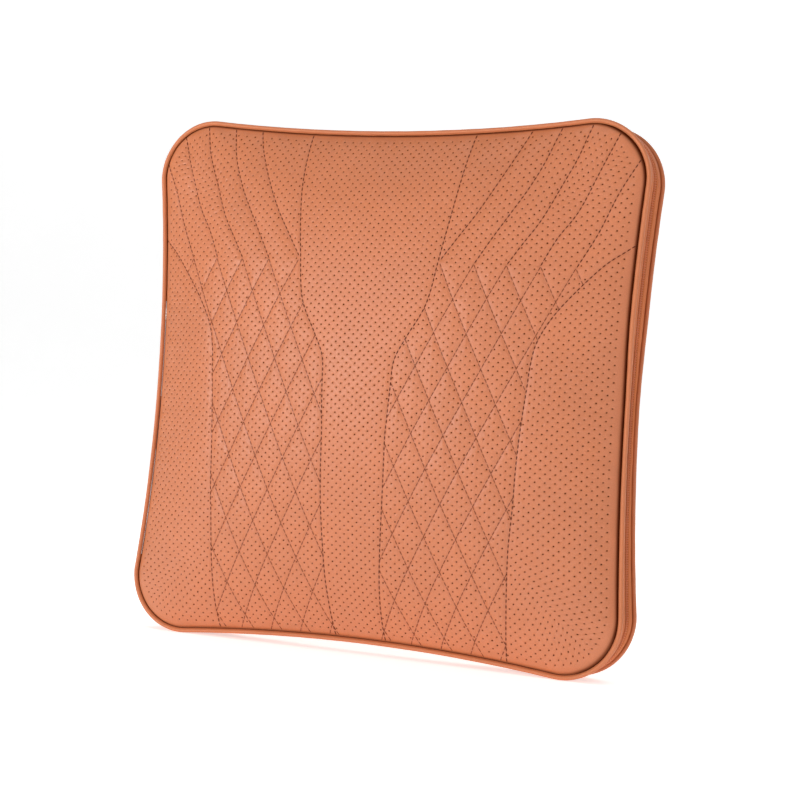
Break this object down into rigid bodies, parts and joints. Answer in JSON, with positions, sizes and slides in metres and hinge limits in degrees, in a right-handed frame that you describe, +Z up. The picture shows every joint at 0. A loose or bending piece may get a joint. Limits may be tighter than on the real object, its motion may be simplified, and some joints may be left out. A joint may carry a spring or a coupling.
{
  "type": "kneading massage cushion",
  "caption": "Square quilted leather massage cushion with a zip-round cover that folds open over two counter-rotating kneading arms, each with free-spinning heads.",
  "frame": {"origin": "middle of the bottom edge, on the surface the upright cushion stands on, at the mid-plane of its thickness", "axes": "+Z up, X across the width, the quilted kneading face looks along -Y and the plain back along +Y"},
  "size_m": [0.4, 0.108, 0.4],
  "materials": {
    "leather": "satin",
    "piping": "satin",
    "quilt_foam": "matte",
    "lining": "matte",
    "zip_tape": "matte",
    "zip_coil": "satin",
    "zip_metal": "satin",
    "foam": "matte",
    "case_plastic": "matte",
    "steel": "satin",
    "bronze": "satin",
    "gear_plastic": "satin",
    "arm_plastic": "satin",
    "head_plastic": "satin",
    "motor_metal": "satin",
    "brass": "satin",
    "black_plastic": "matte",
    "button_plastic": "gloss",
    "board": "satin"
  },
  "bodies": {
    "base": {"rear_panel": "leather", "rear_piping": "piping", "hinge_strip": "leather", "gusset_rear": "leather", "zip_tape_rear": "zip_tape", "zip_coil_rear": "zip_coil", "zip_end_stops": "zip_metal", "foam_core": "foam", "housing_front": "case_plastic", "housing_rear": "case_plastic", "housing_screws": "steel", "output_bushes": "bronze", "idler_bushes": "bronze", "motor_can": "motor_metal", "motor_end_cap": "black_plastic", "motor_bracket": "steel", "motor_screws": "steel", "worm_end_bearing": "arm_plastic", "control_bezel": "black_plastic", "control_board": "board", "tact_switch": "black_plastic", "dc_socket": "black_plastic"},
    "front_cover": {"front_panel": "leather", "quilting_foam": "quilt_foam", "panel_lining": "lining", "front_piping": "piping", "gusset_front": "leather", "zip_tape_front": "zip_tape", "zip_coil_front": "zip_coil"},
    "left_output": {"left_output_gear": "gear_plastic", "left_output_shaft": "steel", "left_arm": "arm_plastic", "left_head_axles": "steel", "left_push_nuts": "steel", "left_arm_nut": "steel"},
    "right_output": {"right_output_gear": "gear_plastic", "right_output_shaft": "steel", "right_arm": "arm_plastic", "right_head_axles": "steel", "right_push_nuts": "steel", "right_arm_nut": "steel"},
    "idler": {"idler_pinion": "gear_plastic", "worm_wheel": "gear_plastic", "idler_shaft": "steel"},
    "worm_drive": {"worm": "brass", "motor_shaft": "steel"},
    "left_outer_head": {"head_left_outer": "head_plastic"},
    "left_inner_head": {"head_left_inner": "head_plastic"},
    "right_upper_head": {"head_right_upper": "head_plastic"},
    "right_lower_head": {"head_right_lower": "head_plastic"},
    "slider": {"zip_slider": "zip_metal"},
    "pull_tab": {"zip_pull_tab": "zip_metal"},
    "button": {"power_button": "button_plastic"}
  },
  "joints": [
    {"name": "cover_opening", "type": "hinge", "parent": "base", "child": "front_cover", "pos_m": [-0.204, 0, 0.2], "axis": [0, 0, -1], "range_deg": [0, 150]},
    {"name": "left_arm_spin", "type": "hinge", "parent": "base", "child": "left_output", "pos_m": [-0.045, 0.01, 0.2], "axis": [0, 1, 0], "continuous": true},
    {"name": "right_arm_spin", "type": "hinge", "parent": "base", "child": "right_output", "pos_m": [0.045, 0.01, 0.2], "axis": [0, 1, 0], "continuous": true},
    {"name": "idler_spin", "type": "hinge", "parent": "base", "child": "idler", "pos_m": [-0.0165, 0.015, 0.24936], "axis": [0, 1, 0], "continuous": true},
    {"name": "worm_spin", "type": "hinge", "parent": "base", "child": "worm_drive", "pos_m": [-0.0165, 0.022, 0.26936], "axis": [1, 0, 0], "continuous": true},
    {"name": "left_outer_head_roll", "type": "hinge", "parent": "left_output", "child": "left_outer_head", "pos_m": [-0.075, -0.02, 0.2], "axis": [0, 1, 0], "continuous": true},
    {"name": "left_inner_head_roll", "type": "hinge", "parent": "left_output", "child": "left_inner_head", "pos_m": [-0.015, -0.02, 0.2], "axis": [0, 1, 0], "continuous": true},
    {"name": "right_upper_head_roll", "type": "hinge", "parent": "right_output", "child": "right_upper_head", "pos_m": [0.045, -0.02, 0.23], "axis": [0, 1, 0], "continuous": true},
    {"name": "right_lower_head_roll", "type": "hinge", "parent": "right_output", "child": "right_lower_head", "pos_m": [0.045, -0.02, 0.17], "axis": [0, 1, 0], "continuous": true},
    {"name": "zip_slide", "type": "slide", "parent": "base", "child": "slider", "axis": [-0.0586, 0, 0.9983], "range_m": [0, 0.062]},
    {"name": "pull_tab_swing", "type": "hinge", "parent": "slider", "child": "pull_tab", "pos_m": [-0.19544, 0, 0.27371], "axis": [0, 1, 0], "range_deg": [-2, 178]},
    {"name": "power_press", "type": "slide", "parent": "base", "child": "button", "axis": [1, 0, 0], "range_m": [0, 0.0012], "stiffness_N_per_m": 900, "springref_m": -0.0012}
  ],
  "couplings": [
    {"joint": "right_arm_spin", "follows": "left_arm_spin", "ratio": -1},
    {"joint": "idler_spin", "follows": "left_arm_spin", "ratio": -3.75},
    {"joint": "worm_spin", "follows": "left_arm_spin", "ratio": 112.5}
  ]
}
